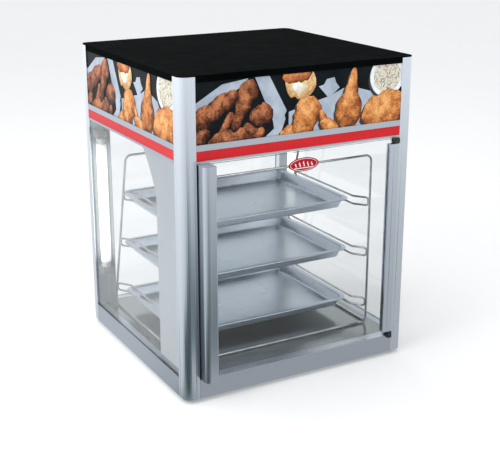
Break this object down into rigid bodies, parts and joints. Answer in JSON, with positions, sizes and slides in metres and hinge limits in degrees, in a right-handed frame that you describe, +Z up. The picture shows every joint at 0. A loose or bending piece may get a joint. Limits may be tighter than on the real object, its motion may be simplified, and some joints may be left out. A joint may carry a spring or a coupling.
{
  "type": "hot food display case",
  "caption": "Heated countertop display cabinet with glass sides, a side-hinged glass door, a wire rack with sheet pans and a printed header over a red stripe.",
  "frame": {"origin": "middle of the footprint box, on the surface the feet stand on", "axes": "+Z up, door and handle towards -Y, rear controls towards +Y, +X to the right of someone facing the door"},
  "size_m": [0.572, 0.607, 0.71],
  "materials": {
    "anodised_aluminium": "satin anodised, drawn grain",
    "stainless": "brushed",
    "chrome_wire": "bright plated",
    "pan_aluminium": "plain rolled, lightly worn",
    "black_lid": "satin black",
    "grey_coat": "satin grey",
    "red_stripe": "satin red strip",
    "header_print": null,
    "clear_glass": "clear",
    "lamp_glass": "white coated tube",
    "badge_red": "gloss oval with a pale rim",
    "black_plastic": "moulded",
    "foot_rubber": "moulded",
    "element_sheath": "oxidised"
  },
  "bodies": {
    "case": {"post_front_left": "anodised_aluminium", "foot_front_left": "foot_rubber", "post_front_right": "anodised_aluminium", "foot_front_right": "foot_rubber", "post_rear_left": "anodised_aluminium", "foot_rear_left": "foot_rubber", "post_rear_right": "anodised_aluminium", "foot_rear_right": "foot_rubber", "base_rail_front": "anodised_aluminium", "header_rail_front": "anodised_aluminium", "base_rail_rear": "anodised_aluminium", "header_rail_rear": "anodised_aluminium", "base_rail_left": "anodised_aluminium", "header_rail_left": "anodised_aluminium", "base_rail_right": "anodised_aluminium", "header_rail_right": "anodised_aluminium", "stripe_front": "red_stripe", "print_panel_front": "header_print", "stripe_left": "red_stripe", "print_panel_left": "header_print", "stripe_right": "red_stripe", "print_panel_right": "header_print", "floor_pan": "stainless", "control_panel": "stainless", "ceiling_panel": "stainless", "blower_housing": "stainless", "top_lid": "black_lid", "heater_element": "element_sheath", "blower_motor": "element_sheath", "cord_gland": "black_plastic", "hinge_block_top": "black_plastic", "hinge_block_bottom": "black_plastic", "glass_left": "clear_glass", "glass_right": "clear_glass", "glass_rear": "clear_glass", "lamp_channel_left": "anodised_aluminium", "lamp_channel_right": "anodised_aluminium", "rack_front_frame": "chrome_wire", "rack_rear_frame": "chrome_wire", "pan_runner_left_1": "chrome_wire", "pan_runner_left_2": "chrome_wire", "pan_runner_left_3": "chrome_wire", "pan_runner_right_1": "chrome_wire", "pan_runner_right_2": "chrome_wire", "pan_runner_right_3": "chrome_wire", "lamp_tube_left": "lamp_glass", "lamp_tube_right": "lamp_glass", "corner_cover": "grey_coat"},
    "door": {"door_glass": "clear_glass", "door_handle": "anodised_aluminium", "door_hinge_stile": "anodised_aluminium", "door_badge": "badge_red"},
    "pan_low": {"sheet_pan_1": "pan_aluminium"},
    "pan_middle": {"sheet_pan_2": "pan_aluminium"},
    "pan_high": {"sheet_pan_3": "pan_aluminium"},
    "power_rocker": {"power_switch": "black_plastic"},
    "light_rocker": {"light_switch": "black_plastic"},
    "thermostat": {"thermostat_knob": "black_plastic"},
    "drawer": {"water_drawer": "stainless"},
    "fan_wheel": {"blower_wheel": "black_plastic"}
  },
  "joints": [
    {"name": "door_hinge", "type": "hinge", "parent": "case", "child": "door", "pos_m": [0.243, -0.2745, 0.29], "axis": [0, 0, 1], "range_deg": [0, 110]},
    {"name": "pan_slide_1", "type": "slide", "parent": "case", "child": "pan_low", "axis": [0, -1, 0], "range_m": [0, 0.12]},
    {"name": "pan_slide_2", "type": "slide", "parent": "case", "child": "pan_middle", "axis": [0, -1, 0], "range_m": [0, 0.12]},
    {"name": "pan_slide_3", "type": "slide", "parent": "case", "child": "pan_high", "axis": [0, -1, 0], "range_m": [0, 0.12]},
    {"name": "power_switch_rock", "type": "hinge", "parent": "case", "child": "power_rocker", "pos_m": [0.06, 0.2665, 0.635], "axis": [1, 0, 0], "range_deg": [0, 16]},
    {"name": "light_switch_rock", "type": "hinge", "parent": "case", "child": "light_rocker", "pos_m": [0.1, 0.2665, 0.635], "axis": [1, 0, 0], "range_deg": [0, 16]},
    {"name": "thermostat_turn", "type": "hinge", "parent": "case", "child": "thermostat", "pos_m": [0.155, 0.2735, 0.635], "axis": [0, 1, 0], "range_deg": [0, 270]},
    {"name": "drawer_slide", "type": "slide", "parent": "case", "child": "drawer", "axis": [0, 1, 0], "range_m": [0, 0.135]},
    {"name": "fan_spin", "type": "hinge", "parent": "case", "child": "fan_wheel", "pos_m": [0.11, 0.03, 0.56], "axis": [0, 0, 1], "continuous": true}
  ]
}
